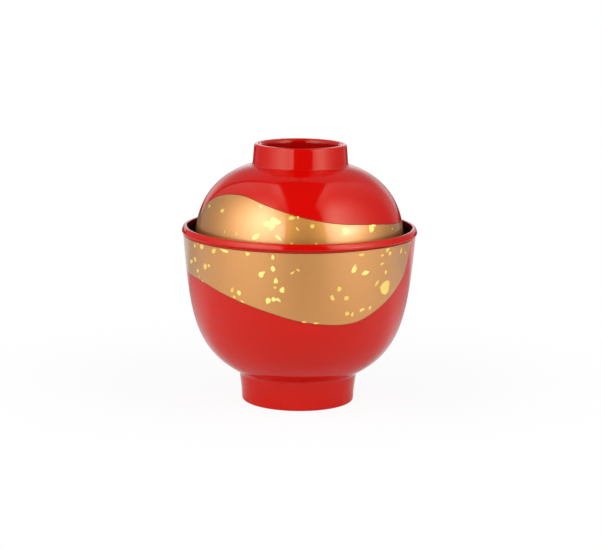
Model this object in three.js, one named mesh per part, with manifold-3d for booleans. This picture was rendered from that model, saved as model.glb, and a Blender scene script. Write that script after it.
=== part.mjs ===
// Lidded lacquer soup bowl: a footed bowl, a domed lid that drops into its mouth,
// and a wave-edged layer of gold on each of them.
// Millimetres, +Z up. The origin is the middle of the foot's resting plane, and -Y is the front.
import * as THREE from "three";
import { mergeVertices, toCreasedNormals } from "three/addons/utils/BufferGeometryUtils.js";
import Module from "manifold-3d";

const wasm = await Module();
wasm.setup();

// Whole object
const RIM_DIAMETER = 95;
const OVERALL_HEIGHT = 105;

// Bowl
const BOWL_HEIGHT = 71.7;
const BOWL_WALL = 4.3;
const FLOOR_THICKNESS = 4.6;
const LIP_WIDTH = 2.8; // across the rounded lip, from outside to inside
const LIP_DEPTH = 2.8; // from the top of the lip to its lower edge
const LIP_PROUD = 0.45; // how far the lip stands out from the wall
const MOUTH_FLARE = 8.5; // depth over which the inside opens out to the lip
const FOOT_BASE_DIAMETER = 45.5;
const FOOT_TOP_DIAMETER = 47.8;
const FOOT_HEIGHT = 12;
const FOOT_WALL = 3.4;
const FOOT_RECESS = 8.6; // depth of the hollow under the foot
const FOOT_EDGE = 0.8; // rounding of the foot's edges
const FOOT_WAIST = 0.25; // share of the foot's flare that it has at half its height
const FLOOR_FLAT = 0.75; // share of the floor's radius over which it stays nearly flat
const BELLY_START = [0.82, 0.167]; // shares of the way to the lip: how the wall leaves the foot
const BELLY_END = [0.114, 0.556]; // shares of the way back to the foot: how it meets the lip

// Lid
const SEAT_DEPTH = 10.7; // from the rim down to the lid's edge
const SEAT_GAP = 0.3; // clearance between the lid's edge and the inside of the bowl
const LID_WALL = 2.6;
const LID_EDGE = 0.8; // rounding of the lid's edge
const CROWN_THICKNESS = 3.3; // of the lid under its grip ring
const RING_TOP_DIAMETER = 37.3;
const RING_BASE_DIAMETER = 38.4;
const RING_HEIGHT = 8.4;
const RING_WALL = 3.1;
const RING_RECESS = 6.8; // depth of the hollow in the grip ring
const RING_EDGE = 0.8; // rounding of the ring's edges
const DOME_START = [0.612, 0.105]; // shares of the way to the edge: how the dome leaves the ring
const DOME_END = [-0.096, 0.569]; // shares of the way back to the ring: how it meets the edge

// Gold layers. Each wave is a list of [azimuth in degrees, share of the wall that the gold covers]:
// down the bowl from the gold's upper edge to the foot, and up the lid from the rim's plane
// to the grip ring. Azimuth 0 is the front, and +90 is +X.
const GOLD_THICKNESS = 0.3;
const GOLD_BED = 0.2; // clearance between a gold layer and the recess that it lies in
const GOLD_LIP_GAP = 0.5; // bare wall between the bowl's gold and its lip
const GOLD_EDGE_GAP = 2.5; // bare dome between the lid's gold and its edge
const BOWL_GOLD_WAVE = [
  [-168, 0.025],
  [-150, 0.094],
  [-125, 0.193],
  [-100, 0.242],
  [-75, 0.259],
  [-53, 0.285],
  [-36, 0.348],
  [-16, 0.425],
  [1, 0.486],
  [18, 0.517],
  [30, 0.51],
  [39, 0.468],
  [52, 0.371],
  [60, 0.291],
  [65, 0.223],
  [67.5, 0.153],
  [70, 0.025],
];
const LID_GOLD_WAVE = [
  [-180, 0.145],
  [-145, 0.13],
  [-115, 0.12],
  [-95, 0.135],
  [-80, 0.25],
  [-75, 0.38],
  [-70, 0.475],
  [-62, 0.57],
  [-51, 0.628],
  [-37, 0.628],
  [-21, 0.532],
  [0, 0.385],
  [13, 0.31],
  [24, 0.263],
  [50, 0.205],
  [67, 0.155],
  [100, 0.116],
  [140, 0.112],
  [180, 0.145],
];

// Fineness
const TURN_STEPS = 48;
const WALL_POINTS = 11;
const EDGE_POINTS = 3;
const FLOOR_POINTS = 5;
const GOLD_ROWS = 4;
const CUT_CLEARANCE = 1; // how far a gold layer's cut reaches out of the wall
const CREASE = THREE.MathUtils.degToRad(32);

// Values that follow from the sizes above
const rimRadius = RIM_DIAMETER / 2;
const wallTopRadius = rimRadius - LIP_PROUD;
const lipBase = BOWL_HEIGHT - LIP_DEPTH;
const lipMiddle = BOWL_HEIGHT - LIP_WIDTH / 2;
const footBaseRadius = FOOT_BASE_DIAMETER / 2;
const footTopRadius = FOOT_TOP_DIAMETER / 2;
const seatHeight = BOWL_HEIGHT - SEAT_DEPTH;
const lidHeight = OVERALL_HEIGHT - seatHeight;
const domeTop = lidHeight - RING_HEIGHT;
const ringBaseRadius = RING_BASE_DIAMETER / 2;
const ringTopRadius = RING_TOP_DIAMETER / 2;
const turnStep = (2 * Math.PI) / TURN_STEPS;

const lacquer = new THREE.MeshStandardMaterial({ color: 0xc4120a, roughness: 0.2, metalness: 0 });
const gold = new THREE.MeshStandardMaterial({ color: 0xcb9a5e, roughness: 0.35, metalness: 0.85 });

const point = (radius, height) => new THREE.Vector2(radius, height);

// A smooth wall from one point to another, with its handles given as shares of the way between them.
function wallCurve(start, end, startShare, endShare) {
  const reach = end.clone().sub(start);
  const startHandle = start.clone().add(point(startShare[0] * reach.x, startShare[1] * reach.y));
  const endHandle = end.clone().sub(point(endShare[0] * reach.x, endShare[1] * reach.y));
  return new THREE.CubicBezierCurve(start, startHandle, endHandle, end);
}

// The curve's points, moved by a distance along the normal on the right of its run.
function offsetPoints(curve, distance) {
  const points = [];
  for (let i = 0; i <= WALL_POINTS; i++) {
    const along = curve.getTangentAt(i / WALL_POINTS);
    const across = point(along.y, -along.x).multiplyScalar(distance);
    points.push(curve.getPointAt(i / WALL_POINTS).add(across));
  }
  return points;
}

// A quarter of an ellipse from one point to another, which leaves the first one upright or level.
function roundedCorner(from, to, leavesUpright) {
  const corner = leavesUpright ? point(from.x, to.y) : point(to.x, from.y);
  const turn = new THREE.QuadraticBezierCurve(from, corner, to);
  return turn.getPoints(EDGE_POINTS);
}

// The radius of a profile at a height, along its straight steps.
function radiusAt(points, height) {
  for (let i = 1; i < points.length; i++) {
    const [low, high] = [points[i - 1], points[i]].sort((a, b) => a.y - b.y);
    if (height >= low.y && height <= high.y && high.y > low.y)
      return THREE.MathUtils.mapLinear(height, low.y, high.y, low.x, high.x);
  }
  const ends = [points[0], points[points.length - 1]];
  return ends.sort((a, b) => Math.abs(a.y - height) - Math.abs(b.y - height))[0].x;
}

function solidOf(geometry) {
  geometry.deleteAttribute("normal");
  geometry.deleteAttribute("uv");
  const merged = mergeVertices(geometry, 1e-3);
  const triVerts = new Uint32Array(merged.index.array);
  const vertProperties = merged.attributes.position.array;
  return new wasm.Manifold(new wasm.Mesh({ numProp: 3, vertProperties, triVerts }));
}

function meshOf(solid, name, material) {
  const { vertProperties, triVerts } = solid.getMesh();
  const geometry = new THREE.BufferGeometry();
  geometry.setAttribute("position", new THREE.BufferAttribute(vertProperties, 3));
  geometry.setIndex(new THREE.BufferAttribute(triVerts, 1));
  const mesh = new THREE.Mesh(toCreasedNormals(geometry, CREASE), material);
  mesh.name = name;
  return mesh;
}

// A body turned about Z from a profile that starts and ends on the axis.
function turned(profile) {
  return solidOf(new THREE.LatheGeometry(profile, TURN_STEPS).rotateX(Math.PI / 2));
}

// A point at an azimuth, on the flat facets that a turned body has between its steps.
function onFacets(radius, azimuth, height) {
  const rounding = 1e-6;
  const middle = (Math.floor(azimuth / turnStep + rounding) + 0.5) * turnStep;
  const reach = (radius * Math.cos(turnStep / 2)) / Math.cos(azimuth - middle);
  return [reach * Math.sin(azimuth), -reach * Math.cos(azimuth), height];
}

// A slab that follows a turned wall, from a depth inside its surface to clear of it,
// between two edges that are functions of the azimuth. Right round the wall it closes on itself.
function wallSlab(wall, azimuths, lowerEdge, upperEdge, depth) {
  const positions = [];
  const index = [];
  for (const azimuth of azimuths)
    for (let row = 0; row <= GOLD_ROWS; row++) {
      const height = THREE.MathUtils.lerp(lowerEdge(azimuth), upperEdge(azimuth), row / GOLD_ROWS);
      const radius = radiusAt(wall, height);
      positions.push(...onFacets(radius - depth, azimuth, height));
      positions.push(...onFacets(radius + CUT_CLEARANCE, azimuth, height));
    }
  const inner = (column, row) => 2 * (column * (GOLD_ROWS + 1) + row);
  const outer = (column, row) => inner(column, row) + 1;
  const quad = (a, b, c, d) => index.push(a, b, c, a, c, d);
  const last = azimuths.length - 1;
  for (let i = 0; i < last; i++) {
    const j = i + 1;
    for (let row = 0; row < GOLD_ROWS; row++) {
      quad(outer(i, row), outer(j, row), outer(j, row + 1), outer(i, row + 1));
      quad(inner(i, row), inner(i, row + 1), inner(j, row + 1), inner(j, row));
    }
    quad(inner(i, 0), inner(j, 0), outer(j, 0), outer(i, 0));
    quad(outer(i, GOLD_ROWS), outer(j, GOLD_ROWS), inner(j, GOLD_ROWS), inner(i, GOLD_ROWS));
  }
  const goesRound = azimuths[last] - azimuths[0] > 2 * Math.PI - turnStep / 4;
  for (let row = 0; row < GOLD_ROWS && !goesRound; row++) {
    quad(inner(0, row), outer(0, row), outer(0, row + 1), inner(0, row + 1));
    quad(outer(last, row), inner(last, row), inner(last, row + 1), outer(last, row + 1));
  }
  const geometry = new THREE.BufferGeometry();
  geometry.setAttribute("position", new THREE.Float32BufferAttribute(positions, 3));
  return solidOf(geometry.setIndex(index));
}

// A wave as a function of the azimuth in radians, smooth through its listed points.
function waveOf(list) {
  const azimuths = list.map(([degrees]) => THREE.MathUtils.degToRad(degrees));
  const shares = list.map(([, share]) => share);
  const spline = new THREE.CubicInterpolant(azimuths, shares, 1);
  return (azimuth) => spline.evaluate(azimuth)[0];
}

// Azimuths from the first to the last listed point of a wave, half a turning step apart,
// reaching past both ends by a margin.
function azimuthsOf(list, margin) {
  const first = THREE.MathUtils.degToRad(list[0][0]);
  const last = THREE.MathUtils.degToRad(list[list.length - 1][0]);
  const least = turnStep / 8;
  const azimuths = [first - margin];
  for (let halfStep = -TURN_STEPS; halfStep <= TURN_STEPS; halfStep++) {
    const azimuth = (halfStep * turnStep) / 2;
    if (azimuth > first + least && azimuth < last - least) azimuths.push(azimuth);
  }
  azimuths.push(last + margin);
  return azimuths;
}

// Bowl: the foot's hollow, the foot, the wall, the lip, and the inside down to the floor.
function bowlParts() {
  const wallBase = point(footTopRadius, FOOT_HEIGHT);
  const wallTop = point(wallTopRadius, lipBase);
  const wall = wallCurve(wallBase, wallTop, BELLY_START, BELLY_END);
  const outside = wall.getSpacedPoints(WALL_POINTS);
  const footInside = footBaseRadius - FOOT_WALL;
  const footWaist = THREE.MathUtils.lerp(footBaseRadius, footTopRadius, FOOT_WAIST);
  const lipOutside = point(rimRadius, lipMiddle);
  const lipTop = point(rimRadius - LIP_WIDTH / 2, BOWL_HEIGHT);
  const lipInside = point(rimRadius - LIP_WIDTH, lipMiddle);
  const lipBulge = point(rimRadius, (lipBase + lipMiddle) / 2);
  const inside = offsetPoints(wall, -BOWL_WALL).filter(({ y }) => y < BOWL_HEIGHT - MOUTH_FLARE);
  const floor = FOOT_RECESS + FLOOR_THICKNESS;
  const floorHandle = point(FLOOR_FLAT * inside[0].x, floor);
  const floorTurn = new THREE.QuadraticBezierCurve(inside[0], floorHandle, point(0, floor));
  const profile = [
    point(0, FOOT_RECESS),
    point(footInside, FOOT_RECESS),
    ...roundedCorner(point(footInside, FOOT_EDGE), point(footInside + FOOT_EDGE, 0), true),
    ...roundedCorner(point(footBaseRadius - FOOT_EDGE, 0), point(footBaseRadius, FOOT_EDGE), false),
    point(footWaist, FOOT_HEIGHT / 2),
    ...outside,
    ...roundedCorner(wallTop, lipBulge, false).slice(1),
    ...roundedCorner(lipOutside, lipTop, true),
    ...roundedCorner(lipTop, lipInside, false).slice(1),
    ...inside.toReversed(),
    ...floorTurn.getPoints(FLOOR_POINTS).slice(1),
  ];
  const body = turned(profile);
  const wave = waveOf(BOWL_GOLD_WAVE);
  const goldTop = lipBase - GOLD_LIP_GAP;
  const goldBottom = (azimuth) => THREE.MathUtils.lerp(goldTop, FOOT_HEIGHT, wave(azimuth));
  const layer = wallSlab(
    outside,
    azimuthsOf(BOWL_GOLD_WAVE, 0),
    goldBottom,
    () => goldTop,
    GOLD_THICKNESS,
  );
  const recess = wallSlab(
    outside,
    azimuthsOf(BOWL_GOLD_WAVE, GOLD_BED / rimRadius),
    (azimuth) => goldBottom(azimuth) - GOLD_BED,
    () => goldTop + GOLD_BED,
    GOLD_THICKNESS + GOLD_BED,
  );
  const seatRadius = radiusAt([...inside, lipInside], seatHeight);
  return { seatRadius, body: body.subtract(recess), gold: body.intersect(layer) };
}

// Lid, with its edge at height 0: the hollow under the dome, the edge, the dome and the grip ring.
function lidParts(edgeRadius) {
  const domeBase = point(edgeRadius, LID_EDGE);
  const dome = wallCurve(point(ringBaseRadius, domeTop), domeBase, DOME_START, DOME_END);
  const outside = dome.getSpacedPoints(WALL_POINTS);
  const hollow = offsetPoints(dome, LID_WALL).filter(({ y }) => y > 2 * LID_EDGE);
  const edgeInside = edgeRadius - LID_WALL;
  const recessFloor = lidHeight - RING_RECESS;
  const ceiling = recessFloor - CROWN_THICKNESS;
  const ringInside = ringTopRadius - RING_WALL;
  const ringShoulder = lidHeight - RING_EDGE;
  const ringOuterEdge = point(ringTopRadius - RING_EDGE, lidHeight);
  const ringInnerEdge = point(ringInside + RING_EDGE, lidHeight);
  const profile = [
    point(0, ceiling),
    ...hollow,
    ...roundedCorner(point(edgeInside, LID_EDGE), point(edgeInside + LID_EDGE, 0), true),
    ...roundedCorner(point(edgeRadius - LID_EDGE, 0), domeBase, false),
    ...outside.toReversed().slice(1),
    ...roundedCorner(point(ringTopRadius, ringShoulder), ringOuterEdge, true),
    ...roundedCorner(ringInnerEdge, point(ringInside, ringShoulder), false),
    point(ringInside, recessFloor),
    point(0, recessFloor),
  ];
  const body = turned(profile);
  const wave = waveOf(LID_GOLD_WAVE);
  const goldTop = (azimuth) => THREE.MathUtils.lerp(SEAT_DEPTH, domeTop, wave(azimuth));
  const azimuths = azimuthsOf(LID_GOLD_WAVE, 0);
  const layer = wallSlab(
    outside,
    azimuths,
    () => GOLD_EDGE_GAP,
    goldTop,
    GOLD_THICKNESS,
  );
  const recess = wallSlab(
    outside,
    azimuths,
    () => GOLD_EDGE_GAP - GOLD_BED,
    (azimuth) => goldTop(azimuth) + GOLD_BED,
    GOLD_THICKNESS + GOLD_BED,
  );
  return { body: body.subtract(recess), gold: body.intersect(layer) };
}

const bowl = bowlParts();
const lid = lidParts(bowl.seatRadius - SEAT_GAP);

const bowlGroup = new THREE.Group();
bowlGroup.add(meshOf(bowl.body, "bowl", lacquer));
bowlGroup.add(meshOf(bowl.gold, "bowl_gold_band", gold));

const lidGroup = new THREE.Group();
lidGroup.position.z = seatHeight;
lidGroup.add(meshOf(lid.body, "lid", lacquer));
lidGroup.add(meshOf(lid.gold, "lid_gold_band", gold));

const soupBowl = new THREE.Group();
soupBowl.add(bowlGroup, lidGroup);

export default soupBowl;
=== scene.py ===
import math
import random

import bpy
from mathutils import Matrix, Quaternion, Vector
from mathutils.geometry import interpolate_bezier


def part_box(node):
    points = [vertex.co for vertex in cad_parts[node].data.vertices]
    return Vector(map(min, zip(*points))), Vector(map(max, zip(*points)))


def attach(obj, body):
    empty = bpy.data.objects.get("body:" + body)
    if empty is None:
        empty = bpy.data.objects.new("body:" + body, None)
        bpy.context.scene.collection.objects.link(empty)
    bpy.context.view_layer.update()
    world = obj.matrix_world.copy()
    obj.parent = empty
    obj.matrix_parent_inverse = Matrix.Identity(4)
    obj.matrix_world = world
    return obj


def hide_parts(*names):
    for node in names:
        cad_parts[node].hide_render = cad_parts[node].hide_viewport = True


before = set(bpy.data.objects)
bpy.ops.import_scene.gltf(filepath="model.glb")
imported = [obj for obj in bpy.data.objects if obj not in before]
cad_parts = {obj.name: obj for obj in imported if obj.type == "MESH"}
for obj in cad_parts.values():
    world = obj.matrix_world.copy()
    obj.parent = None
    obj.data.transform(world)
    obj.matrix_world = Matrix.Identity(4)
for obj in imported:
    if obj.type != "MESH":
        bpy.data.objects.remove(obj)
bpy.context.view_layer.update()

MM = 0.001
AXIS = (0, 0, 1)
FULL_TURN = 2 * math.pi

# Sizes read from the frame
bowl_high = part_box("bowl")[1]
lid_low, lid_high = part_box("lid")
rim_radius = bowl_high.x
rim_height = bowl_high.z
seat_height = lid_low.z
top_height = lid_high.z

# Bowl
BOWL_WALL = 4.3 * MM
FLOOR_THICKNESS = 4.6 * MM
FLOOR_FLAT = 0.75  # share of the radius out to which a floor or ceiling is nearly flat
FLOOR_EASE = 0.7  # share of the way from the wall to the flat at which the curve's handle lies
BELLY_START = (0.82, 0.167)  # handle at the foot, in shares of the wall's reach outward and upward
BELLY_END = (0.114, 0.556)  # handle at the lip
LIP_WIDTH = 2.8 * MM
LIP_DEPTH = 2.8 * MM
LIP_PROUD = 0.45 * MM  # of the wall under it
LIP_UNDERCUT = 0.25 * MM
LIP_WIDEST = 2.1 * MM  # below the rim
LIP_LEAN = 0.5 * MM  # of the shoulder, inward and down from the lip's outer corner
LIP_SIDE_BEND = 1.4  # leans, from the widest place up to the corner that the lip's side bends round
LIP_TOP_BEND = 1.55  # leans, inward to the corner that the lip's top bends round
LIP_CREST = 1.3 * MM  # inward from the widest place
MOUTH_FLARE = 8.5 * MM  # from the rim down to where the inside is parallel to the wall
MOUTH_EASE = 0.4  # share of the way from the wall to the flare at which the curve's handle lies
LIP_SHADE_START = 0.15 * MM  # below the rim, where the painted shade on the lip's inner side starts
PAINT_MARGIN = 0.1 * MM
FOOT_BASE_RADIUS = 22.75 * MM
FOOT_TOP_RADIUS = 23.9 * MM
FOOT_HEIGHT = 12 * MM
FOOT_WALL = 3.4 * MM
FOOT_RECESS = 8.6 * MM
FOOT_EDGE = 0.8 * MM
FOOT_WAIST = 0.25  # share of the foot's taper at half its height
FOOT_WAIST_SPREAD = 0.2 * MM
FOOT_TOP_INSET = 0.05 * MM
FOOT_FILLET = 1.2 * MM

# Lid
SEAT_GAP = 0.3 * MM
LID_WALL = 2.6 * MM
LID_EDGE = 0.8 * MM
CROWN_THICKNESS = 3.3 * MM
DOME_START = (0.612, 0.105)  # handle at the ring, in shares of the dome's reach outward and downward
DOME_END = (-0.096, 0.569)  # handle at the seating edge
RING_TOP_RADIUS = 18.65 * MM
RING_BASE_RADIUS = 19.2 * MM
RING_HEIGHT = 8.4 * MM
RING_WALL = 3.1 * MM
RING_RECESS = 6.8 * MM
RING_EDGE = 0.8 * MM
RING_INNER_EDGE = 1.6 * MM
RING_FILLET = 0.5 * MM
RECESS_SHADE_START = 0.8 * MM  # below the ring's top, where the recess's painted shade starts
RECESS_SHADE_REACH = 0.3 * MM  # past the recess's wall, as far as the painted shade reaches

# Gold layers
GOLD_LIP_GAP = 0.35 * MM
GOLD_LIP_GAP_RIGHT = 0.02 * MM
GOLD_LIP_GAP_CLOSES = (10, 40)  # azimuths in degrees
GOLD_EDGE_GAP = 2.5 * MM
GOLD_PROUD = 0.04 * MM
GOLD_THICKNESS = 0.16 * MM
GOLD_LINE = 0.22 * MM
# Width of the painted shadow line under the lip, along the gold's straight edge
GOLD_LIP_SHADOW = 0.35 * MM
GOLD_LINE_MOST = 1 / 3  # of the gold's height, where the gold is narrow

# Wave edges of the gold: azimuth in degrees, and the share of the wall that the gold covers there
BOWL_GOLD_WAVE = [
    (-168, 0.017),
    (-150, 0.102),
    (-125, 0.200),
    (-100, 0.249),
    (-75, 0.266),
    (-62, 0.274),
    (-53, 0.291),
    (-36, 0.354),
    (-16, 0.430),
    (1, 0.491),
    (18, 0.521),
    (30, 0.514),
    (39, 0.473),
    (52, 0.377),
    (60, 0.297),
    (62.5, 0.266),
    (65, 0.23),
    (67.5, 0.16),
    (69, 0.075),
    (70, 0.006),
]
LID_GOLD_WAVE = [
    (-180, 0.145),
    (-145, 0.13),
    (-115, 0.12),
    (-95, 0.135),
    (-80, 0.25),
    (-75, 0.38),
    (-70, 0.475),
    (-62, 0.57),
    (-51, 0.628),
    (-37, 0.628),
    (-21, 0.532),
    (0, 0.385),
    (13, 0.31),
    (24, 0.263),
    (50, 0.205),
    (67, 0.155),
    (100, 0.116),
    (140, 0.112),
    (180, 0.145),
]

# Loose gold leaf: azimuth in degrees, then height, width and rise in millimetres, then tilt in degrees
BOWL_PALE_FLECKS = [
    (-38, 67.3, 4.6, 1.5, 170),
    (-25, 67.2, 2.2, 1.4, 0),
    (-12.5, 66.6, 2.5, 1.6, 95),
    (-18, 59.8, 3.2, 3.2, 40),
    (-12.5, 62.0, 2.3, 2.0, 95),
    (-11, 57.3, 2.7, 2.2, 90),
    (-8, 53.8, 2.9, 2.2, 92),
    (-30.5, 51.3, 2.0, 2.4, 10),
    (-15, 49.2, 2.9, 2.8, 0),
    (-12.2, 49.9, 2.2, 2.2, 0),
    (-9.8, 49.7, 2.8, 1.8, -38),
    (27, 61.5, 4.2, 2.2, 68),
    (33.5, 59.6, 3.8, 2.4, 190),
]
BOWL_DEEP_FLECKS = [
    (-61, 66.7, 1.9, 2.4, 0),
    (-58, 68.0, 1.6, 0.7, 0),
    (-54.5, 67.2, 3.4, 2.1, 15),
    (-45, 66.6, 2.8, 2.1, 40),
    (-67.5, 59.5, 3.6, 2.2, 15),
    (-62, 61.1, 2.2, 2.1, 10),
    (-52.5, 59.5, 2.8, 2.2, 30),
    (-49.5, 60.2, 1.6, 1.5, 45),
    (-60, 56.8, 1.9, 2.2, 0),
    (-59, 54.5, 0.9, 0.8, 0),
    (-56, 53.2, 0.9, 0.8, 0),
    (-3, 60.8, 2.2, 1.0, 35),
    (-0.5, 61.8, 1.8, 1.1, -38),
    (-11.5, 54.6, 1.3, 1.1, 0),
    (-34.5, 52.2, 2.3, 1.9, 55),
    (-33.5, 49.3, 1.7, 1.0, -25),
    (-29, 47.9, 2.0, 0.9, -30),
    (3, 41.1, 2.6, 0.9, -8),
    (9, 40.5, 2.8, 1.1, 0),
    (31, 67.0, 3.2, 1.4, 5),
    (47, 67.6, 2.6, 1.5, 20),
    (49, 66.0, 1.9, 1.8, 10),
    (43.5, 65.8, 1.9, 1.6, 0),
    (58.5, 66.0, 1.6, 2.8, -15),
    (63.5, 64.6, 1.5, 0.9, 0),
    (44, 62.4, 2.8, 1.2, 12),
    (47, 58.7, 1.4, 1.7, 0),
    (41.5, 54.9, 3.6, 1.8, 48),
    (48, 52.7, 5.5, 6.2, 52),
    (20, 54.1, 2.1, 2.6, 0),
    (16.5, 50.7, 2.7, 1.8, -60),
    (24, 50.2, 2.3, 2.3, 20),
    (25, 43.9, 2.4, 1.8, 0),
    (28, 43.3, 2.0, 1.5, 70),
    (33.5, 44.7, 3.2, 1.5, 15),
    (38.5, 45.3, 1.7, 1.7, 45),
]
LID_PALE_FLECKS = [
    (-24, 73.1, 4.0, 2.2, 35),
    (-24, 84.3, 2.2, 0.6, -22),
    (-18, 78.2, 3.4, 3.0, 10),
    (-15, 77.4, 3.0, 3.2, 30),
    (-14.5, 79.3, 3.0, 3.4, -20),
    (-12, 79.0, 2.6, 2.8, 10),
    (-11, 73.1, 3.4, 1.6, -35),
    (25.5, 75.5, 3.0, 3.8, 10),
    (43, 75.4, 3.4, 3.6, -10),
    (44.5, 76.5, 4.2, 1.4, 0),
]
LID_DEEP_FLECKS = [
    (-67, 81.4, 1.4, 1.2, 20),
    (-51, 81.0, 2.0, 1.6, 50),
    (-44.5, 73.6, 1.0, 1.7, 0),
    (-36, 73.4, 1.1, 1.9, 5),
    (-4.5, 80.7, 2.5, 1.9, 0),
    (-1, 81.0, 0.9, 1.1, 0),
    (-1, 76.7, 2.3, 1.0, -50),
    (-4, 71.4, 0.9, 1.1, 0),
    (7, 77.8, 2.1, 2.1, 45),
    (9, 71.3, 0.9, 1.2, 0),
    (62, 73.8, 1.2, 1.1, 0),
]
LEAF_SEED = 7
LEAF_THICKNESS = 0.06 * MM
LEAF_LIFT = 0.05 * MM
LEAF_REACH = 1.1  # most that a torn corner reaches, in shares of the fleck's size
LEAF_BLUNT_END = 1.15  # share of the rise at the blunt end, which the taper lessens at the other end
SMALL_LEAF_CORNERS = (7, 9)
SMALL_LEAF_TAPER = (0.2, 0.8)
SMALL_LEAF_TORN = 0.7  # least that a torn corner reaches
BIG_LEAF = 5 * MM
BIG_LEAF_CORNERS = 18
BIG_LEAF_TAPER = 0.65
BIG_LEAF_TORN = 0.92

# Flecks on the sides that the photograph doesn't show, drawn by chance within these limits
HIDDEN_BOWL_FLECKS = 26
HIDDEN_BOWL_SIDE = (-158, -90)  # azimuths in degrees
HIDDEN_LID_FLECKS = 18
HIDDEN_LID_SIDE = (93, 267)
HIDDEN_WIDTH = (0.7, 3.4, 1.4)  # least, most and commonest, in millimetres
HIDDEN_RISE = (0.6, 1.3)  # shares of the width
HIDDEN_TILT = 60  # degrees, either way
HIDDEN_MARGIN = 0.3  # millimetres, to the edges of the gold

# Fineness
TURN_STEPS = 192
WALL_POINTS = 60
SWEEP_POINTS = 16
EDGE_POINTS = 8
GOLD_ROWS = 28
GOLD_COLUMNS = 360
MERGE_REACH = 0.002 * MM
SLOPE_REACH = 0.1 * MM
SMOOTH_ANGLE = math.radians(38)
ROUNDNESS = 0.552  # share of the way to its corner at which the handles of a quarter circle lie

# Values that follow from the sizes above
lip_base = rim_height - LIP_DEPTH
lip_middle = rim_height - LIP_WIDTH / 2
wall_top_radius = rim_radius - LIP_PROUD
floor_height = FOOT_RECESS + FLOOR_THICKNESS
dome_top = top_height - RING_HEIGHT
ring_inside = RING_TOP_RADIUS - RING_WALL
recess_floor = top_height - RING_RECESS
ceiling_height = recess_floor - CROWN_THICKNESS


def at(radius, height):
    """A point of an outline, which lies in the plane of +X and +Z."""
    return Vector((radius, 0, height))


def swept_wall(start, end, start_share, end_share):
    """A wall's curve, with its handles given as shares of the way between its ends."""
    reach = end - start
    start_handle = start + at(start_share[0] * reach.x, start_share[1] * reach.z)
    end_handle = end - at(end_share[0] * reach.x, end_share[1] * reach.z)
    return interpolate_bezier(start, start_handle, end_handle, end, WALL_POINTS)


def inner_wall(wall, thickness, side):
    """The inner face of a wall: its curve moved square to itself by the thickness.

    The side is -1 for a wall whose curve runs up and 1 for one whose curve runs down."""
    moved = []
    for i, place in enumerate(wall):
        along = (wall[min(i + 1, len(wall) - 1)] - wall[max(i - 1, 0)]).normalized()
        moved.append(place + thickness * side * Vector((along.z, 0, -along.x)))
    return moved


def radius_at(wall, height):
    """The radius of a wall at a height, or at its nearer end where it doesn't reach that height."""
    for low, high in zip(wall, wall[1:]):
        if min(low.z, high.z) <= height <= max(low.z, high.z):
            return low.x + (high.x - low.x) * (height - low.z) / (high.z - low.z)
    return min((wall[0], wall[-1]), key=lambda place: abs(place.z - height)).x


foot_corner = at(FOOT_TOP_RADIUS, FOOT_HEIGHT)
bowl_wall = swept_wall(foot_corner, at(wall_top_radius, lip_base), BELLY_START, BELLY_END)
bowl_inner_wall = inner_wall(bowl_wall, BOWL_WALL, -1)
lid_edge_radius = radius_at(bowl_inner_wall, seat_height) - SEAT_GAP
ring_corner = at(RING_BASE_RADIUS, dome_top)
lid_dome = swept_wall(ring_corner, at(lid_edge_radius, seat_height + LID_EDGE), DOME_START, DOME_END)


def add_curve(outline, start_handle, end_handle, end, points):
    """Carries an outline on along a curve."""
    outline.extend(interpolate_bezier(outline[-1], start_handle, end_handle, end, points)[1:])


def add_corner(outline, corner, end):
    """Carries an outline on round a corner."""
    start_handle = outline[-1].lerp(corner, ROUNDNESS)
    add_curve(outline, start_handle, end.lerp(corner, ROUNDNESS), end, EDGE_POINTS)


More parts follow.
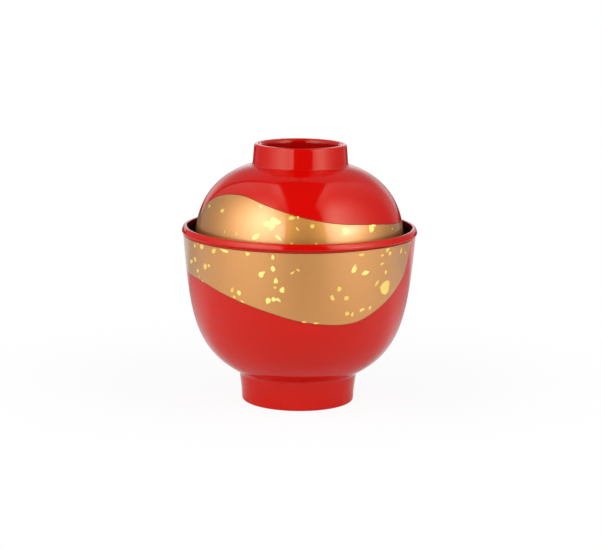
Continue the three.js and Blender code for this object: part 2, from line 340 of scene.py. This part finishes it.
def bowl_outline():
    """Foot's hollow, foot, belly, lip, and the inside down to the floor."""
    foot_inside = FOOT_BASE_RADIUS - FOOT_WALL
    waist = FOOT_BASE_RADIUS + FOOT_WAIST * (FOOT_TOP_RADIUS - FOOT_BASE_RADIUS)
    waist_low = at(waist, FOOT_HEIGHT / 2)
    waist_high = at(waist + FOOT_WAIST_SPREAD, FOOT_HEIGHT / 2)
    foot_top = at(FOOT_TOP_RADIUS - FOOT_TOP_INSET, FOOT_HEIGHT - FOOT_FILLET)
    belly = [place for place in bowl_wall if (place - foot_corner).length > FOOT_FILLET]
    lip_widest = at(rim_radius, rim_height - LIP_WIDEST)
    lip_side = at(rim_radius, rim_height - LIP_WIDEST + LIP_SIDE_BEND * LIP_LEAN)
    lip_shoulder = at(rim_radius - LIP_LEAN, rim_height - LIP_LEAN)
    lip_top = at(rim_radius - LIP_TOP_BEND * LIP_LEAN, rim_height)
    lip_crest = at(rim_radius - LIP_CREST, rim_height)
    lip_inside = at(rim_radius - LIP_WIDTH, lip_middle)
    mouth = [place for place in bowl_inner_wall if place.z < rim_height - MOUTH_FLARE]
    flare = at(lip_inside.x, lip_middle - MOUTH_FLARE / 3)
    flat = at(FLOOR_FLAT * mouth[0].x, floor_height)

    outline = [at(0, FOOT_RECESS), at(foot_inside - FOOT_EDGE, FOOT_RECESS)]
    add_corner(outline, at(foot_inside, FOOT_RECESS), at(foot_inside, FOOT_RECESS - FOOT_EDGE))
    outline.append(at(foot_inside, FOOT_EDGE))
    add_corner(outline, at(foot_inside, 0), at(foot_inside + FOOT_EDGE, 0))
    outline.append(at(FOOT_BASE_RADIUS - FOOT_EDGE, 0))
    add_corner(outline, at(FOOT_BASE_RADIUS, 0), at(FOOT_BASE_RADIUS, FOOT_EDGE))
    add_curve(outline, waist_low, waist_high, foot_top, SWEEP_POINTS)
    add_corner(outline, foot_corner, belly[0])
    outline += belly[1:]
    outline.append(at(wall_top_radius - LIP_UNDERCUT, lip_base + LIP_UNDERCUT / 2))
    add_corner(outline, at(rim_radius, lip_base + LIP_UNDERCUT / 2), lip_widest)
    add_corner(outline, lip_side, lip_shoulder)
    add_corner(outline, lip_top, lip_crest)
    add_corner(outline, at(lip_inside.x, rim_height), lip_inside)
    add_curve(outline, flare, mouth[-1].lerp(flare, MOUTH_EASE), mouth[-1], EDGE_POINTS)
    outline += mouth[-2::-1]
    add_curve(outline, mouth[0].lerp(flat, FLOOR_EASE), flat, at(0, floor_height), SWEEP_POINTS)
    return outline


def lid_outline():
    """Hollow under the dome, seating edge, dome, and grip ring with its recess."""
    inner_dome = inner_wall(lid_dome, LID_WALL, 1)
    hollow = [place for place in inner_dome if place.z > seat_height + 2 * LID_EDGE]
    edge_inside = lid_edge_radius - LID_WALL
    dome = [place for place in lid_dome if (place - ring_corner).length > RING_FILLET]

    outline = [at(0, ceiling_height), at(hollow[0].x * FLOOR_FLAT, ceiling_height)]
    outline += hollow
    outline.append(at(edge_inside, seat_height + LID_EDGE))
    add_corner(outline, at(edge_inside, seat_height), at(edge_inside + LID_EDGE, seat_height))
    outline.append(at(lid_edge_radius - LID_EDGE, seat_height))
    add_corner(outline, at(lid_edge_radius, seat_height), at(lid_edge_radius, seat_height + LID_EDGE))
    outline += dome[-2::-1]
    add_corner(outline, ring_corner, at(RING_BASE_RADIUS, dome_top + RING_FILLET))
    outline.append(at(RING_TOP_RADIUS, top_height - RING_EDGE))
    add_corner(outline, at(RING_TOP_RADIUS, top_height), at(RING_TOP_RADIUS - RING_EDGE, top_height))
    outline.append(at(ring_inside + RING_INNER_EDGE, top_height))
    add_corner(outline, at(ring_inside, top_height), at(ring_inside, top_height - RING_INNER_EDGE))
    outline.append(at(ring_inside, recess_floor + RING_EDGE))
    add_corner(outline, at(ring_inside, recess_floor), at(ring_inside - RING_EDGE, recess_floor))
    outline.append(at(0, recess_floor))
    return outline


def turned(name, outline):
    """A body turned on the lathe: its outline is drawn from point to point and spun round the axis."""
    bpy.ops.object.select_all(action="DESELECT")
    bpy.ops.mesh.primitive_plane_add(size=LIP_WIDTH, location=outline[0])
    body = bpy.context.object
    body.name = name
    bpy.ops.object.mode_set(mode="EDIT")
    # The plane only gives the first point
    bpy.ops.mesh.merge(type="CENTER")
    for start, end in zip(outline, outline[1:]):
        bpy.ops.mesh.extrude_region_move(TRANSFORM_OT_translate={"value": end - start})
    bpy.ops.mesh.select_all(action="SELECT")
    bpy.ops.mesh.spin(steps=TURN_STEPS, angle=FULL_TURN, center=(0, 0, 0), axis=AXIS)
    bpy.ops.mesh.select_all(action="SELECT")
    bpy.ops.mesh.remove_doubles(threshold=MERGE_REACH)
    bpy.ops.mesh.normals_make_consistent(inside=False)
    bpy.ops.object.mode_set(mode="OBJECT")
    bpy.ops.object.transform_apply(location=True, rotation=True, scale=True)
    bpy.ops.object.shade_smooth_by_angle(angle=SMOOTH_ANGLE)
    return body


def bowl_tone(radius, height):
    """The lacquer at a place on the bowl: black inside, a dark wine of painted shade on the lip's inner
    side, else red.
    """
    inside_wall = radius < radius_at(bowl_wall, height) - BOWL_WALL / 2
    if lip_middle < height < rim_height - LIP_SHADE_START and radius < rim_radius - LIP_CREST:
        return lip_shade_lacquer
    if floor_height - PAINT_MARGIN < height < lip_middle and inside_wall:
        return black_lacquer
    return red_lacquer


def lid_tone(radius, height):
    """The lacquer at a place on the lid: black under the dome, red darkened by painted shade in the
    recess, else red.
    """
    under_dome = radius < radius_at(lid_dome, height) - LID_WALL / 2
    if under_dome and height < recess_floor - CROWN_THICKNESS / 2:
        return black_lacquer
    if radius < ring_inside + RECESS_SHADE_REACH and height < top_height - RECESS_SHADE_START:
        return recess_shade_lacquer
    return red_lacquer


def lacquered(body, tones, tone_at):
    """Gives each face of a body the lacquer that belongs to its place."""
    for tone in tones:
        body.data.materials.append(tone)
    for face in body.data.polygons:
        radius = math.hypot(face.center.x, face.center.y)
        face.material_index = tones.index(tone_at(radius, face.center.z))


def wave_share(wave, azimuth):
    """The share of a wall that gold covers at an azimuth, on a smooth curve through the wave's points."""
    last = len(wave) - 1
    i = next((k for k in range(1, last) if wave[k][0] >= azimuth), last)
    (low, low_share), (high, high_share) = wave[i - 1], wave[i]

    def slope(k):
        before, after = wave[max(k - 1, 0)], wave[min(k + 1, last)]
        return (after[1] - before[1]) / (after[0] - before[0])

    span = high - low
    t = (azimuth - low) / span
    between_ends = low_share * (1 + 2 * t) * (1 - t) ** 2 + high_share * t * t * (3 - 2 * t)
    from_slopes = span * (slope(i - 1) * t * (1 - t) ** 2 - slope(i) * t * t * (1 - t))
    return between_ends + from_slopes


def bowl_gold_low(azimuth):
    """The wave edge of the bowl's gold."""
    return lip_base - wave_share(BOWL_GOLD_WAVE, azimuth) * (lip_base - FOOT_HEIGHT)


def bowl_gold_high(azimuth):
    """The straight edge of the bowl's gold, which closes up to the lip on the right."""
    start, end = GOLD_LIP_GAP_CLOSES
    closed = min(max((azimuth - start) / (end - start), 0), 1)
    return lip_base - GOLD_LIP_GAP + (GOLD_LIP_GAP - GOLD_LIP_GAP_RIGHT) * closed


def lid_gold_low(azimuth):
    """The straight edge of the lid's gold, the same at every azimuth."""
    return seat_height + GOLD_EDGE_GAP


def lid_gold_shows(azimuth):
    """The height from which the lid's gold shows above the rim, the same at every azimuth."""
    return rim_height


def lid_gold_high(azimuth):
    """The wave edge of the lid's gold."""
    wrapped = (azimuth + 180) % 360 - 180
    return rim_height + wave_share(LID_GOLD_WAVE, wrapped) * (dome_top - rim_height)


def on_wall(wall, azimuth, height, lift):
    """A point at an azimuth in degrees and a height, lifted square off the wall."""
    rise = 2 * SLOPE_REACH
    slope = (radius_at(wall, height + SLOPE_REACH) - radius_at(wall, height - SLOPE_REACH)) / rise
    square = Vector((1, 0, -slope)).normalized()
    radius = radius_at(wall, height) + lift * square.x
    turn = math.radians(azimuth)
    return Vector((radius * math.sin(turn), -radius * math.cos(turn), height + lift * square.z))


def gold_height(share, row, start, end):
    """The height of a point of a gold layer, whose first row of faces is its dark line at the wave edge
    and whose last row is its painted shadow line at the straight edge.
    """
    way = end - start
    most = GOLD_LINE_MOST * abs(way)
    line_end = start + math.copysign(min(GOLD_LINE, most), way)
    gold_end = end - math.copysign(min(GOLD_LIP_SHADOW, most), way)
    if share < row / 2:
        return start
    if share > 1 - row / 2:
        return end
    return line_end + (gold_end - line_end) * (share - row) / (1 - 2 * row)


def thicken(piece, thickness):
    """Gives a thin layer its thickness, inwards from its outer face."""
    layer = piece.modifiers.new("layer", "SOLIDIFY")
    layer.thickness = thickness
    layer.offset = -1
    bpy.ops.object.modifier_apply(modifier=layer.name)
    bpy.ops.object.shade_smooth_by_angle(angle=SMOOTH_ANGLE)


def gold_band(name, wall, wave, wave_edge, straight_edge):
    """A thin gold layer on a wall, with a dark line along its wave edge and a painted shadow line along
    its straight edge, under the lip.

    It starts as a grid of size 1, on which X becomes the azimuth and Y the height."""
    first, last = wave[0][0], wave[-1][0]
    if wave_edge(0) > straight_edge(0):
        # With the wave edge on top the grid runs the other way, so that its faces point outwards
        first, last = last, first
    row = 1 / GOLD_ROWS
    bpy.ops.object.select_all(action="DESELECT")
    bpy.ops.mesh.primitive_grid_add(x_subdivisions=GOLD_COLUMNS, y_subdivisions=GOLD_ROWS, size=1)
    band = bpy.context.object
    band.name = name
    tones = [gold, gold_line_and_lip_shadow]
    for tone in tones:
        band.data.materials.append(tone)
    for face in band.data.polygons:
        if not row < face.center.y + 0.5 < 1 - row:
            face.material_index = tones.index(gold_line_and_lip_shadow)
    for corner in band.data.vertices:
        azimuth = first + (last - first) * (corner.co.x + 0.5)
        height = gold_height(corner.co.y + 0.5, row, wave_edge(azimuth), straight_edge(azimuth))
        corner.co = on_wall(wall, azimuth, height, GOLD_PROUD)
    bpy.ops.object.mode_set(mode="EDIT")
    bpy.ops.mesh.select_all(action="SELECT")
    bpy.ops.mesh.remove_doubles(threshold=MERGE_REACH)
    bpy.ops.object.mode_set(mode="OBJECT")
    thicken(band, GOLD_THICKNESS)
    return band


def leaf_fleck(wall, azimuth, height, width, rise, tilt, tone, draw):
    """One torn fleck of gold leaf, smoothed down on a wall: it tapers along its width."""
    small = width < BIG_LEAF
    corners = draw.randint(*SMALL_LEAF_CORNERS) if small else BIG_LEAF_CORNERS
    taper = draw.uniform(*SMALL_LEAF_TAPER) if small else BIG_LEAF_TAPER
    least = SMALL_LEAF_TORN if small else BIG_LEAF_TORN
    bpy.ops.mesh.primitive_circle_add(vertices=corners, radius=1, fill_type="TRIFAN")
    fleck = bpy.context.object
    turn = math.radians(tilt)
    radius = radius_at(wall, height)
    for corner in fleck.data.vertices:
        torn = draw.uniform(least, LEAF_REACH)
        across = corner.co.x * torn * width / 2
        up = corner.co.y * torn * rise / 2 * (LEAF_BLUNT_END - taper * (corner.co.x + 1) / 2)
        side = across * math.cos(turn) - up * math.sin(turn)
        climb = across * math.sin(turn) + up * math.cos(turn)
        lift = GOLD_PROUD + LEAF_LIFT + draw.uniform(0, LEAF_LIFT)
        corner.co = on_wall(wall, azimuth + math.degrees(side / radius), height + climb, lift)
    fleck.data.materials.append(tone)
    return fleck


def leaf_flecks(name, wall, pale_places, deep_places, draw):
    """Loose flecks of gold leaf on a wall, pale ones and deep ones, joined into one piece."""
    bpy.ops.object.select_all(action="DESELECT")
    flecks = []
    for places, tone in ((pale_places, pale_leaf), (deep_places, deep_leaf)):
        for azimuth, height, width, rise, tilt in places:
            flecks.append(leaf_fleck(wall, azimuth, height * MM, width * MM, rise * MM, tilt, tone, draw))
    for fleck in flecks:
        fleck.select_set(True)
    bpy.context.view_layer.objects.active = flecks[0]
    bpy.ops.object.join()
    piece = bpy.context.object
    piece.name = name
    thicken(piece, LEAF_THICKNESS)
    return piece


def hidden_flecks(count, azimuths, low_edge, high_edge, draw):
    """Places for the flecks on a side that the photograph doesn't show, where the gold is high enough."""
    places = []
    for _ in range(count):
        azimuth = draw.uniform(*azimuths)
        low, high = low_edge(azimuth) / MM, high_edge(azimuth) / MM
        width = draw.triangular(*HIDDEN_WIDTH)
        rise = width * draw.uniform(*HIDDEN_RISE)
        margin = rise / 2 + HIDDEN_MARGIN
        if high - low > 2 * margin:
            height = draw.uniform(low + margin, high - margin)
            places.append((azimuth, height, width, rise, draw.uniform(-HIDDEN_TILT, HIDDEN_TILT)))
    return places


# Finishes
MIX_LOW = 6  # places of a Mix node's colour sockets
MIX_HIGH = 7
MIX_RESULT = 2
WHITE = (1, 1, 1, 1)
LACQUER_TINT = (1.0, 0.96, 0.72, 1)  # of its reflections
GOLD_DEEP = (0.65, 0.285, 0.06)
GOLD_BRIGHT = (0.82, 0.375, 0.098)


def new_material(name):
    """A material, the tree of its nodes, and its shader."""
    material = bpy.data.materials.new(name)
    material.use_nodes = True
    tree = material.node_tree
    return material, tree, tree.nodes["Principled BSDF"]


def set_inputs(node, values):
    """Sets inputs of a node by their names."""
    for name, value in values.items():
        node.inputs[name].default_value = value


def noise(tree, scale, detail):
    """A noise over the piece's own coordinates."""
    place = tree.nodes.new("ShaderNodeTexCoord")
    texture = tree.nodes.new("ShaderNodeTexNoise")
    set_inputs(texture, {"Scale": scale, "Detail": detail})
    tree.links.new(place.outputs["Object"], texture.inputs["Vector"])
    return texture.outputs["Fac"]


def ranged(tree, value, start=(0, 1), end=(0, 1), way="LINEAR"):
    """A value carried over from one range to another, and held at its ends."""
    carried = tree.nodes.new("ShaderNodeMapRange")
    carried.interpolation_type = way
    set_inputs(carried, {"From Min": start[0], "From Max": start[1], "To Min": end[0], "To Max": end[1]})
    tree.links.new(value, carried.inputs["Value"])
    return carried.outputs["Result"]


def vary_colour(tree, shader, share, low, high):
    """The shader's colour goes from one tone to another as the share grows."""
    tone = tree.nodes.new("ShaderNodeMix")
    tone.data_type = "RGBA"
    tone.inputs[MIX_LOW].default_value = (*low, 1)
    tone.inputs[MIX_HIGH].default_value = (*high, 1)
    tree.links.new(share, tone.inputs["Factor"])
    tree.links.new(tone.outputs[MIX_RESULT], shader.inputs["Base Color"])


def vary_roughness(tree, shader, share, smooth, rough):
    """The shader's roughness goes from smooth to rough as the share grows."""
    tree.links.new(ranged(tree, share, end=(smooth, rough)), shader.inputs["Roughness"])


def add_relief(tree, shader, height, strength, depth):
    """Gives the surface a fine relief."""
    relief = tree.nodes.new("ShaderNodeBump")
    set_inputs(relief, {"Strength": strength, "Distance": depth})
    tree.links.new(height, relief.inputs["Height"])
    tree.links.new(relief.outputs["Normal"], shader.inputs["Normal"])


def lacquer(name, colour, deep_colour, gloss):
    """Gloss lacquer: a slow drift of colour, a faint ripple of the brush, and a haze of fine wear."""
    material, tree, shader = new_material(name)
    drift = noise(tree, scale=38, detail=3)
    wear = noise(tree, scale=420, detail=5)
    ripple = noise(tree, scale=170, detail=1)
    vary_colour(tree, shader, drift, deep_colour, colour)
    vary_roughness(tree, shader, wear, smooth=0.06, rough=0.13)
    add_relief(tree, shader, ripple, strength=0.12, depth=0.02 * MM)
    set_inputs(shader, {"IOR": 1.5, "Specular IOR Level": gloss, "Specular Tint": LACQUER_TINT})
    return material


def gold_layer():
    """Satin gold powder under clear lacquer: fine grains that vary in colour and gloss."""
    material, tree, shader = new_material("gold_layer")
    grains = noise(tree, scale=2600, detail=3)
    vary_colour(tree, shader, grains, GOLD_DEEP, GOLD_BRIGHT)
    vary_roughness(tree, shader, grains, smooth=0.42, rough=0.54)
    add_relief(tree, shader, grains, strength=0.15, depth=0.01 * MM)
    set_inputs(shader, {"Metallic": 0.88, "Coat Weight": 1, "Coat Roughness": 0.06, "Coat IOR": 1.68})
    return material


def leaf_gold(name, low_tone, high_tone):
    """Bright gold leaf with fine creases, under a thinner coat."""
    material, tree, shader = new_material(name)
    creases = noise(tree, scale=260, detail=4)
    vary_colour(tree, shader, creases, low_tone, high_tone)
    add_relief(tree, shader, creases, strength=0.4, depth=0.05 * MM)
    set_inputs(shader, {"Metallic": 0.2, "Roughness": 0.35})
    set_inputs(shader, {"Coat Weight": 0.4, "Coat Roughness": 0.06, "Coat IOR": 1.6})
    return material


red_lacquer = lacquer("red_lacquer", (0.63, 0.002, 0.0008), (0.57, 0.0015, 0.0006), gloss=0.42)
# Darker red lacquer: painted shade in the lid's recess
recess_shade_lacquer = lacquer("recess_shade_lacquer", (0.38, 0.002, 0.001), (0.33, 0.001, 0.001), gloss=0.42)
black_lacquer = lacquer("black_lacquer", (0.016, 0.004, 0.004), (0.009, 0.003, 0.003), gloss=0.16)
# Dark wine without gloss on the lip's inner side, between the red and the black: mostly painted shade of
# the gap under the lid
lip_shade_lacquer = lacquer("lip_shade_lacquer", (0.1, 0.004, 0.008), (0.08, 0.003, 0.006), gloss=0)
# Dark line along the gold's wave edge, and painted shadow along its straight edge under the lip
gold_line_and_lip_shadow = lacquer("gold_line_and_lip_shadow", (0.2, 0.025, 0.008), (0.14, 0.016, 0.006), gloss=0.12)
gold = gold_layer()
pale_leaf = leaf_gold("pale_leaf", (1.0, 0.82, 0.12), (1.0, 1.0, 0.36))
deep_leaf = leaf_gold("deep_leaf", (1.0, 0.56, 0.05), (1.0, 0.88, 0.22))

# Pieces
bowl = turned("lacquer_bowl", bowl_outline())
lid = turned("lacquer_lid", lid_outline())
lacquered(bowl, [red_lacquer, black_lacquer, lip_shade_lacquer], bowl_tone)
lacquered(lid, [red_lacquer, black_lacquer, recess_shade_lacquer], lid_tone)

bowl_gold = gold_band("bowl_gold_layer", bowl_wall, BOWL_GOLD_WAVE, bowl_gold_low, bowl_gold_high)
lid_gold = gold_band("lid_gold_layer", lid_dome, LID_GOLD_WAVE, lid_gold_high, lid_gold_low)

draw = random.Random(LEAF_SEED)
hidden_bowl = hidden_flecks(HIDDEN_BOWL_FLECKS, HIDDEN_BOWL_SIDE, bowl_gold_low, bowl_gold_high, draw)
bowl_leaf = leaf_flecks(
    "bowl_leaf_flecks", bowl_wall, BOWL_PALE_FLECKS, BOWL_DEEP_FLECKS + hidden_bowl, draw
)
hidden_lid = hidden_flecks(HIDDEN_LID_FLECKS, HIDDEN_LID_SIDE, lid_gold_shows, lid_gold_high, draw)
lid_leaf = leaf_flecks("lid_leaf_flecks", lid_dome, LID_PALE_FLECKS, LID_DEEP_FLECKS + hidden_lid, draw)

# Pieces with their bodies and slots: each is attached to its body, and the CAD nodes that they replace
# are hidden
for piece, body, slot in (
    (bowl, "bowl", "red_lacquer"),
    (bowl_gold, "bowl", "gold_layer"),
    (bowl_leaf, "bowl", "gold_layer"),
    (lid, "lid", "red_lacquer"),
    (lid_gold, "lid", "gold_layer"),
    (lid_leaf, "lid", "gold_layer"),
):
    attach(piece, body)
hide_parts("bowl")
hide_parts("bowl_gold_band")
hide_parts("lid")
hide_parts("lid_gold_band")

# Studio: a round white table between two lit cloths, with two more behind it
TABLE_RADIUS = 0.41
TABLE_SIDES = 128
TABLE_CLEARANCE = 0.02 * MM
TABLE_SHADE = (0.47, 0.88)  # whiteness of the table's colour in the middle of its painted shade in front of the bowl, and round it
TABLE_SHADE_PLACE = (0.015, -0.235, 0)
TABLE_SHADE_SPREAD = (0.17, 0.27, 1)
TABLE_WHITE_BEHIND = (-0.005, 0.04)  # along Y, from where mirrors see the table's painted reflection glow
TABLE_REFLECTION_GLOW = [(0.03, 0.86), (0.16, 0.46), (0.19, 0.46), (0.25, 0.8)]  # painted reflection: the glow that mirrors see on the table behind the bowl, as place along Y and whiteness
TABLE_SHADOW = (0.03, 0.2)  # distances from the axis between which the bowl's shadow fades out
TABLE_SHADOW_PALE = 0.9  # share of the shadow that is left out where it is darkest
CLOTH_SIDE = 0.42
RIGHT_CLOTH = {"front": -0.76, "back": 0.62, "top": 1.57, "glow": 0.32}
LEFT_CLOTH = {"front": -1.5, "back": 0.53, "top": 1.93, "glow": 0.45}
BACK_PLACE = 0.62
BACK_GAP = 0.03
BACK_LOW = 0.07
BACK_TOP = 1.6
BACK_GLOW = 0.45
ALONG_X = 0
ALONG_Y = 1
UNBOUNDED = 1000
LIGHT_LEVEL = 0.615
ROOM_LEVEL = 0.05

# Lamps behind a cloth: strength, place across the cloth and up it, and spread across and up
RIGHT_LAMPS = [
    (5.95, -0.42, 0.46, 0.31, 0.46),
    (1.6, 0.0, 1.5, 0.8, 0.5),
    (0.5, 0.35, 0.75, 0.4, 0.35),
    (0.4, 0.5, 0.16, 0.16, 0.16),
    (5.0, -0.28, 0.2, 0.12, 0.05),
]
LEFT_LAMPS = [
    (5.2, -0.4, 0.44, 0.3, 0.46),
    (4.9, -1.05, 0.5, 0.45, 0.5),
    (2.1, 0.0, 1.7, 0.8, 0.6),
    (0.7, 0.35, 0.75, 0.4, 0.35),
]
BACK_LAMPS = [
    (1.6, 0.05, 0.2, 0.08, 0.14),
    (0.9, 0.28, 0.17, 0.15, 0.12),
]


def bare_material(name):
    """An empty material, the tree of its nodes, and the surface socket of its output."""
    material, tree, _ = new_material(name)
    tree.nodes.clear()
    output = tree.nodes.new("ShaderNodeOutputMaterial")
    return material, tree, output.inputs["Surface"]


def math_result(tree, operation, *values):
    """The result of a Math node, whose values are numbers or other nodes' outputs."""
    node = tree.nodes.new("ShaderNodeMath")
    node.operation = operation
    for socket, value in zip(node.inputs, values):
        if isinstance(value, bpy.types.NodeSocket):
            tree.links.new(value, socket)
        else:
            socket.default_value = value
    return node.outputs["Value"]


def distance_from(tree, middle, spread):
    """How far a place is from a middle, measured in spreads."""
    place = tree.nodes.new("ShaderNodeTexCoord")
    moved = tree.nodes.new("ShaderNodeMapping")
    moved.vector_type = "TEXTURE"
    set_inputs(moved, {"Location": middle, "Scale": spread})
    distance = tree.nodes.new("ShaderNodeVectorMath")
    distance.operation = "LENGTH"
    tree.links.new(place.outputs["Object"], moved.inputs["Vector"])
    tree.links.new(moved.outputs["Vector"], distance.inputs[0])
    return distance.outputs["Value"]


def mixed(tree, share, first, second):
    """A shader that goes from the first to the second as the share grows."""
    mix = tree.nodes.new("ShaderNodeMixShader")
    tree.links.new(share, mix.inputs["Fac"])
    tree.links.new(first, mix.inputs[1])
    tree.links.new(second, mix.inputs[2])
    return mix.outputs["Shader"]


def cloth_light(name, glow, lamps, across):
    """A white cloth lit from behind by lamps: brightest in front of each lamp, and fading outwards."""
    material, tree, surface = bare_material(name)
    level = glow * LIGHT_LEVEL
    for strength, place_across, height, spread_across, spread_up in lamps:
        middle = [0, 0, height]
        middle[across] = place_across
        spread = [UNBOUNDED, UNBOUNDED, spread_up]
        spread[across] = spread_across
        distance = distance_from(tree, middle, spread)
        fade = math_result(tree, "POWER", 1 / math.e, math_result(tree, "MULTIPLY", distance, distance))
        level = math_result(tree, "MULTIPLY_ADD", fade, strength * LIGHT_LEVEL, level)
    light = tree.nodes.new("ShaderNodeEmission")
    tree.links.new(level, light.inputs["Strength"])
    tree.links.new(light.outputs["Emission"], surface)
    return material


def hung_cloth(name, ends, bottom, top, material):
    """A flat upright cloth between two ends, which the camera doesn't see."""
    bpy.ops.object.select_all(action="DESELECT")
    bpy.ops.mesh.primitive_plane_add(size=1)
    cloth = bpy.context.object
    cloth.name = name
    corners = [(*end, height) for height in (bottom, top) for end in ends]
    for vertex, corner in zip(cloth.data.vertices, corners):
        vertex.co = corner
    cloth.data.materials.append(material)
    cloth.visible_camera = False


def table_white():
    """White table: to the light a cloth with painted shade in front of the bowl, and to mirrors behind
    the bowl a glow of painted reflection.

    To the camera it is a white ground with a soft shadow under the bowl."""
    material, tree, surface = bare_material("table_white")
    nodes, links = tree.nodes, tree.links
    path = nodes.new("ShaderNodeLightPath")

    # Cloth with painted shade: darker in front of the bowl
    cloth = nodes.new("ShaderNodeBsdfDiffuse")
    from_shade = distance_from(tree, TABLE_SHADE_PLACE, TABLE_SHADE_SPREAD)
    links.new(ranged(tree, from_shade, end=TABLE_SHADE, way="SMOOTHSTEP"), cloth.inputs["Color"])

    place = nodes.new("ShaderNodeTexCoord")
    parts = nodes.new("ShaderNodeSeparateXYZ")
    links.new(place.outputs["Object"], parts.inputs["Vector"])
    # Glow that only mirrors see behind the bowl: painted reflection, dimmer in a band
    dimmer = nodes.new("ShaderNodeValToRGB")
    stops = dimmer.color_ramp.elements
    for i, (distance, whiteness) in enumerate(TABLE_REFLECTION_GLOW):
        stop = stops[i] if i < len(stops) else stops.new(distance)
        stop.position = distance
        stop.color = (whiteness, whiteness, whiteness, 1)
    reflection_glow = nodes.new("ShaderNodeEmission")
    links.new(parts.outputs["Y"], dimmer.inputs["Fac"])
    links.new(dimmer.outputs["Color"], reflection_glow.inputs["Color"])
    behind = ranged(tree, parts.outputs["Y"], start=TABLE_WHITE_BEHIND)
    in_mirrors = math_result(tree, "MULTIPLY", behind, path.outputs["Is Glossy Ray"])
    unseen = mixed(tree, in_mirrors, cloth.outputs["BSDF"], reflection_glow.outputs["Emission"])

    shadowed = nodes.new("ShaderNodeBsdfDiffuse")
    shadowed.inputs["Color"].default_value = WHITE
    white = nodes.new("ShaderNodeEmission")
    from_axis = distance_from(tree, (0, 0, 0), (1, 1, 1))
    paleness = ranged(tree, from_axis, TABLE_SHADOW, (TABLE_SHADOW_PALE, 1), "SMOOTHSTEP")
    ground = mixed(tree, paleness, shadowed.outputs["BSDF"], white.outputs["Emission"])

    links.new(mixed(tree, path.outputs["Is Camera Ray"], unseen, ground), surface)
    return material


for name, x, cloth, lamps in (
    ("right_cloth", CLOTH_SIDE, RIGHT_CLOTH, RIGHT_LAMPS),
    ("left_cloth", -CLOTH_SIDE, LEFT_CLOTH, LEFT_LAMPS),
):
    ends = [(x, cloth["front"]), (x, cloth["back"])]
    hung_cloth(name, ends, 0, cloth["top"], cloth_light(name, cloth["glow"], lamps, ALONG_Y))
for name, side in (("back_right_cloth", 1), ("back_left_cloth", -1)):
    ends = [(side * BACK_GAP / 2, BACK_PLACE), (side * CLOTH_SIDE, BACK_PLACE)]
    lamps = [(strength, side * x, *rest) for strength, x, *rest in BACK_LAMPS]
    hung_cloth(name, ends, BACK_LOW, BACK_TOP, cloth_light(name, BACK_GLOW, lamps, ALONG_X))

bpy.ops.object.select_all(action="DESELECT")
bpy.ops.mesh.primitive_circle_add(
    vertices=TABLE_SIDES, radius=TABLE_RADIUS, fill_type="NGON", location=(0, 0, -TABLE_CLEARANCE)
)
table = bpy.context.object
table.name = "table"
table.data.materials.append(table_white())

# The room round it, white to the camera alone
world = bpy.data.worlds.new("studio")
bpy.context.scene.world = world
world.use_nodes = True
room = world.node_tree
walls = room.nodes["Background"]
walls.inputs["Color"].default_value = WHITE
seen_by = room.nodes.new("ShaderNodeLightPath")
brightness = ranged(room, seen_by.outputs["Is Camera Ray"], end=(ROOM_LEVEL, 1))
room.links.new(brightness, walls.inputs["Strength"])

# Camera, placed as for the photograph
CAMERA_DISTANCE = 0.8
CAMERA_HEIGHT = 0.2
CAMERA_LENS = 120
CAMERA_SENSOR = 36
CAMERA_ROLL = math.radians(0.7)
AIM = Vector((0.0006, 0, 0.0515))

eye = Vector((0, -CAMERA_DISTANCE, CAMERA_HEIGHT))
facing = (AIM - eye).to_track_quat("-Z", "Y") @ Quaternion(AXIS, CAMERA_ROLL)
bpy.ops.object.camera_add(location=eye, rotation=facing.to_euler())
camera = bpy.context.object
camera.data.lens = CAMERA_LENS
camera.data.sensor_width = CAMERA_SENSOR
bpy.context.scene.camera = camera
bpy.context.scene.view_settings.view_transform = "Standard"
